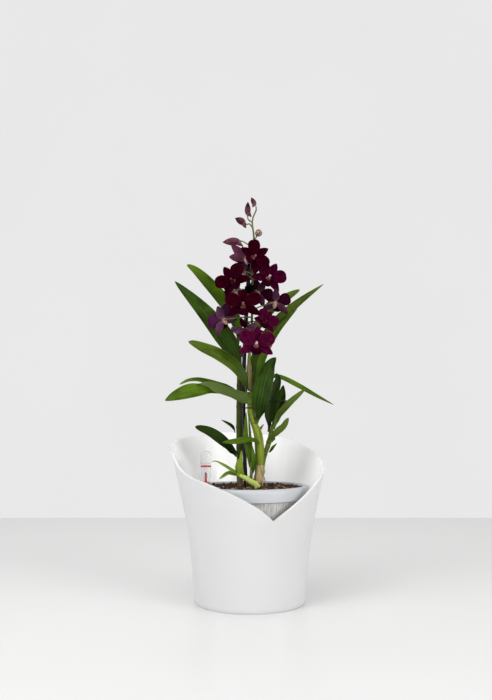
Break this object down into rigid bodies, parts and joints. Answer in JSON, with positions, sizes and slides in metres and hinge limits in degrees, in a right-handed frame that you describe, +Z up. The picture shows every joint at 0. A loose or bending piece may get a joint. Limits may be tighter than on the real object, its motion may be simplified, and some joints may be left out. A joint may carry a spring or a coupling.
{
  "type": "potted dendrobium orchid",
  "caption": "Potted dendrobium orchid with leafy canes and a dark burgundy flower spike, tied to a stake, in a wrapped self-watering planter with a level tube.",
  "frame": {"origin": "centre of the planter's flat underside", "axes": "+Z up along the stem, -Y to the front of the planter with its notch, +X to the right as seen from the front"},
  "size_m": [0.1955, 0.1775, 0.4635],
  "materials": {
    "bark": "loose bark and fibre, dull",
    "bloom": "velvety dark burgundy petals",
    "bud": "mauve brown, satin",
    "cane_ripe": "yellow green, satin",
    "cane_dark": "dark green, satin",
    "spike": "olive green, satin",
    "shoot": "lime green, satin",
    "leaf_bright": "waxy green, semi gloss",
    "leaf_deep": "waxy dark green, semi gloss",
    "planter": "smooth white, semi gloss",
    "liner": "grey, satin",
    "collar": "pale blue grey, semi gloss",
    "clear": "clear plastic",
    "pointer": "red, satin",
    "stake": "black, satin",
    "tie": "black, dull"
  },
  "bodies": {
    "plant_and_planter": {"bark_medium": "bark", "bloom_back_left": "bloom", "bloom_back_right": "bloom", "bloom_back_upper": "bloom", "bloom_centre": "bloom", "bloom_half_open": "bloom", "bloom_left_turned": "bloom", "bloom_lower_right": "bloom", "bloom_lowest": "bloom", "bloom_nodding": "bloom", "bloom_right_side": "bloom", "bloom_top_front": "bloom", "bloom_upper_left": "bloom", "bloom_upper_right": "bloom", "bud_facing": "bud", "bud_left": "bud", "bud_level": "bud", "bud_tip": "bud", "bud_upright": "bud", "cane_front": "cane_ripe", "cane_rear": "cane_dark", "cane_right": "cane_ripe", "flower_spike": "spike", "inner_shoot": "leaf_bright", "leaf_arched_left": "leaf_bright", "leaf_back_left": "leaf_bright", "leaf_back_right": "leaf_deep", "leaf_bright_right": "leaf_bright", "leaf_curled_right": "leaf_bright", "leaf_dark_right": "leaf_deep", "leaf_far_right": "leaf_bright", "leaf_front_level": "leaf_bright", "leaf_light_right": "leaf_bright", "leaf_low_left": "leaf_deep", "leaf_mid_left": "leaf_deep", "leaf_side_right": "leaf_deep", "leaf_small_left": "leaf_deep", "leaf_small_right": "leaf_bright", "leaf_trailing_right": "leaf_bright", "leaf_twisted_left": "leaf_bright", "leaf_upper_left": "leaf_bright", "leaf_upper_right": "leaf_bright", "level_tube": "clear", "liner_collar": "collar", "liner_pot": "liner", "new_shoot": "shoot", "planter": "planter", "stake": "stake", "stake_clip": "stake", "tie_cane": "tie", "tie_leaves": "tie", "tie_spike": "tie"},
    "float": {"level_float": "pointer"}
  },
  "joints": [
    {"name": "float_slide", "type": "slide", "parent": "plant_and_planter", "child": "float", "axis": [0, 0, 1], "range_m": [0, 0.018]}
  ]
}
